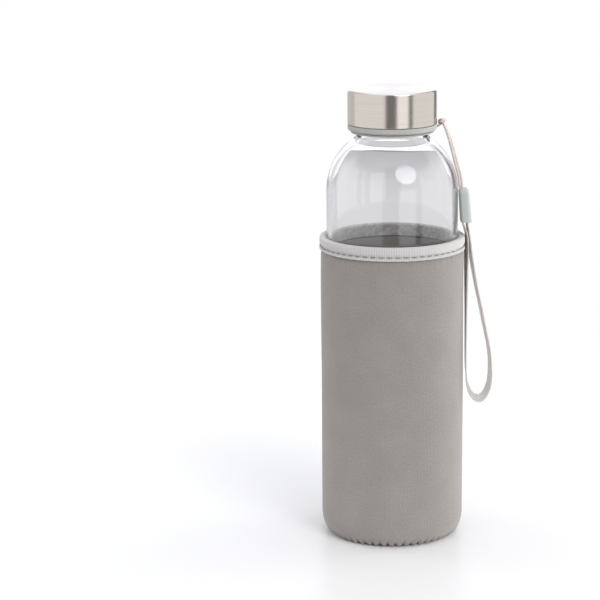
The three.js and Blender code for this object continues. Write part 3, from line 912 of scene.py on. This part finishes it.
# ---- studio ------------------------------------------------------------------------------
class Sky:
    """The world's node tree, with masks over the direction that a ray leaves in."""

    def __init__(self):
        world = bpy.data.worlds.new("studio")
        bpy.context.scene.world = world
        world.use_nodes = True
        self.tree = world.node_tree
        self.tree.nodes.clear()
        coords = self.add("ShaderNodeTexCoord")
        split = self.add("ShaderNodeSeparateXYZ")
        self.link(coords.outputs["Generated"], split.inputs["Vector"])
        self.direction = coords.outputs["Generated"]
        self.x, self.y, self.z = split.outputs
        # Degrees: azimuth is 0 towards -Y and grows towards +X.
        toward = self.math("ARCTAN2", self.x, self.math("MULTIPLY", self.y, -1.0))
        self.azimuth = self.math("MULTIPLY", toward, math.degrees(1))
        self.elevation = self.math("MULTIPLY", self.math("ARCSINE", self.z), math.degrees(1))
        self.behind = self.step(self.math("ABSOLUTE", self.azimuth), 155, 161)
        # What shows straight through the glass is the same room from every side.
        self.rays = self.add("ShaderNodeLightPath").outputs
        unreflected = self.math("LESS_THAN", self.rays["Glossy Depth"], 0.5)
        straight = self.both(self.rays["Is Transmission Ray"], unreflected)
        self.through = self.math("MAXIMUM", self.behind, straight)

    def add(self, kind, **settings):
        node = self.tree.nodes.new(kind)
        for key, value in settings.items():
            setattr(node, key, value)
        return node

    def link(self, out, into):
        self.tree.links.new(out, into)

    def math(self, operation, *values):
        node = self.add("ShaderNodeMath", operation=operation)
        for socket, value in zip(node.inputs, values):
            if isinstance(value, (int, float)):
                socket.default_value = value
            else:
                self.link(value, socket)
        return node.outputs["Value"]

    def both(self, a, b):
        return self.math("MULTIPLY", a, b)

    def step(self, value, low, high):
        """0 below low, 1 above high and smooth between. low above high turns it round."""
        node = self.add("ShaderNodeMapRange", interpolation_type="SMOOTHSTEP")
        node.inputs["From Min"].default_value = low
        node.inputs["From Max"].default_value = high
        self.link(value, node.inputs["Value"])
        return node.outputs["Result"]

    def band(self, value, low, high, soft):
        rise, fall = self.step(value, low - soft, low + soft), self.step(value, high + soft, high - soft)
        return self.both(rise, fall)

    def disc(self, azimuth, elevation, radius, soft):
        """A round light of a radius in degrees."""
        a, e = math.radians(azimuth), math.radians(elevation)
        dot = self.add("ShaderNodeVectorMath", operation="DOT_PRODUCT")
        self.link(self.direction, dot.inputs[0])
        dot.inputs[1].default_value = (math.sin(a) * math.cos(e), -math.cos(a) * math.cos(e), math.sin(e))
        edge, core = math.cos(math.radians(radius + soft)), math.cos(math.radians(radius - soft))
        return self.step(dot.outputs["Value"], edge, core)

    def paint(self, total, level, mask):
        """total where mask is 0, and level where it is 1."""
        keep = self.math("MULTIPLY", total, self.math("SUBTRACT", 1.0, mask))
        return self.math("MULTIPLY_ADD", mask, level, keep)

    def light(self, strength, color=(1, 1, 1)):
        node = self.add("ShaderNodeBackground")
        node.inputs["Color"].default_value = (*color, 1)
        if isinstance(strength, (int, float)):
            node.inputs["Strength"].default_value = strength
        else:
            self.link(strength, node.inputs["Strength"])
        return node.outputs["Background"]

    def mix(self, fac, first, second):
        node = self.add("ShaderNodeMixShader")
        self.link(fac, node.inputs["Fac"])
        self.link(first, node.inputs[1])
        self.link(second, node.inputs[2])
        return node.outputs["Shader"]


def world_light():
    """White where the camera looks. Gloss and glass see panels, a dark gap and a grey table behind.
    Cloth is lit by a soft dome."""
    sky = Sky()
    low = sky.step(sky.elevation, 14, 4)
    room, side_panel, dark_gap, white_card = 0.98, 0.71, 0.21, 1.22
    panels = sky.math("ADD", 0.0, room)
    panels = sky.paint(panels, side_panel, sky.band(sky.azimuth, -190, -117, 1.5))
    panels = sky.paint(panels, dark_gap, sky.band(sky.azimuth, -20, 51, 1.5))
    panels = sky.paint(panels, white_card, sky.both(low, sky.band(sky.azimuth, 9, 40, 2)))
    panels = sky.paint(panels, dark_gap, sky.band(sky.azimuth, 134, 152, 2))
    # Behind: the white backdrop over a table that darkens towards its far edge, which rises aside.
    aside = sky.math("MULTIPLY_ADD", sky.x, math.degrees(1), -3.1)
    aside = sky.math("SQRT", sky.math("MULTIPLY_ADD", aside, aside, 9.0))
    rise = sky.both(sky.math("MULTIPLY_ADD", aside, 0.8, -2.4), sky.step(aside, 13.0, 10.5))
    height = sky.math("SUBTRACT", sky.elevation, rise)
    edge = -5.5                 # elevation of the table's far edge
    above = sky.both(sky.through, sky.step(height, edge - 0.1, edge + 0.1))
    below = sky.both(sky.through, sky.step(height, edge + 0.1, edge - 0.1))
    table = sky.math("MULTIPLY_ADD", sky.step(height, edge - 0.3, -11.0), 0.28, 0.45)
    backdrop, far_line, round_lamp = 1.3, 0.30, 4.0
    panels = sky.paint(sky.paint(panels, backdrop, above), table, below)
    panels = sky.paint(panels, far_line, sky.both(below, sky.band(height, edge - 0.3, edge, 0.1)))
    panels = sky.paint(panels, round_lamp, sky.disc(27, 37, 18, 1.5))
    studio_light = sky.light(panels, (0.99, 0.985, 1.02))
    overhead = sky.both(sky.behind, sky.step(sky.elevation, 4, 8))
    overhead = sky.math("MAXIMUM", overhead, sky.step(sky.elevation, 45, 60))
    studio_light = sky.mix(overhead, studio_light, sky.light(1.33, (0.97, 1.0, 1.12)))
    dome = sky.math("MULTIPLY_ADD", sky.z, 0.26, 0.60)
    dome = sky.math("MULTIPLY_ADD", sky.x, 0.12, dome)
    shown = sky.mix(sky.rays["Is Diffuse Ray"], studio_light, sky.light(dome))
    shown = sky.mix(sky.rays["Is Camera Ray"], shown, sky.light(1.0))
    out = sky.add("ShaderNodeOutputWorld")
    sky.link(shown, out.inputs["Surface"])


def area_light(name, place, target, size, power):
    """A soft light that only matt surfaces see. Gloss and glass see the world's panels instead."""
    data = bpy.data.lights.new(name, "AREA")
    data.shape = "RECTANGLE"
    data.size, data.size_y = size
    data.energy = power
    light = bpy.data.objects.new(name, data)
    light.location = place
    light.rotation_euler = (Vector(target) - Vector(place)).to_track_quat("-Z", "Y").to_euler()
    light.visible_camera = False
    light.visible_glossy = False
    light.visible_transmission = False
    bpy.context.scene.collection.objects.link(light)


def studio():
    world_light()
    middle = (0, 0, 0.11)
    area_light("rim_right", (0.9, 0.35, 0.08), (0, 0, 0.06), (0.45, 0.5), 4.6)
    area_light("low_right", (0.45, -0.75, 0.05), (0.02, 0, 0.0), (0.3, 0.1), 0.35)
    area_light("rim_left", (-0.9, 0.45, 0.3), middle, (0.4, 0.9), 2.2)
    area_light("key", (0.55, -1.0, 0.95), middle, (0.5, 0.5), 3.0)
    bpy.context.scene.view_settings.view_transform = "Standard"
    floor()


def floor():
    """A pale disc that fades into the white room before its edge. Lengths here are metres."""
    disc_r, fade_from, fade_to = 0.52, 0.05, 0.45
    m = Nodes("pale_floor", Base_Color=(0.93, 0.93, 0.935, 1), Roughness=0.3, Specular_IOR_Level=0.15)
    place = m.add("ShaderNodeTexCoord")
    length = m.add("ShaderNodeVectorMath", operation="LENGTH")
    m.link(place.outputs["Object"], length.inputs[0])
    fade = m.add("ShaderNodeMapRange", interpolation_type="SMOOTHSTEP")
    fade.inputs["From Min"].default_value = fade_from
    fade.inputs["From Max"].default_value = fade_to
    fade.inputs["To Min"].default_value = 1.0
    fade.inputs["To Max"].default_value = 0.0
    m.link(length.outputs["Value"], fade.inputs["Value"])
    m.link(fade.outputs["Result"], m.shader.inputs["Alpha"])
    work = bmesh.new()
    bmesh.ops.create_circle(work, cap_ends=True, segments=96, radius=disc_r)
    mesh = bpy.data.meshes.new("floor")
    work.to_mesh(mesh)
    work.free()
    mesh.materials.append(m.material)
    plane = bpy.data.objects.new("floor", mesh)
    plane.location.z = -0.00005
    bpy.context.scene.collection.objects.link(plane)


# ---- build -------------------------------------------------------------------------------
make_camera()
NEOPRENE_CLOTH = neoprene_material()
BINDING_CLOTH = binding_material()
# Stitch thread: a dark grey of its own, made darker still as painted shade for the notches that the
# stitches lie in.
THREAD_DARKENED_AS_NOTCH_SHADE = thread_material("thread_darkened_as_notch_shade", (0.20, 0.19, 0.185))
SEAM_THREAD = thread_material("seam_thread", (0.36, 0.345, 0.33))
CLEAR_GLASS = glass_material()
BRUSHED_STEEL = steel_material()
GREY_PLASTIC = plastic_material("grey_plastic", (0.46, 0.465, 0.44))
CLASP_PLASTIC = plastic_material("clasp_plastic", (0.53, 0.555, 0.53), 0.5, 0.15)
SILICONE = plastic_material("silicone", (0.8, 0.8, 0.78), 0.55, 0.3)
BEIGE_CORD = cord_material()
WOVEN_RIBBON = ribbon_material()

strap_cord()
strap_ribbon(strap_clasp())

tube = sleeve_body()
sleeve_base()
hem = binding()
hem_stitches = rim_stitches()
foot_stitches = base_stitches()
seam = seam_stitches()

glass_bottle()
lid_shell()
lid_liner()
lid_gasket()
strap_ring()
studio()
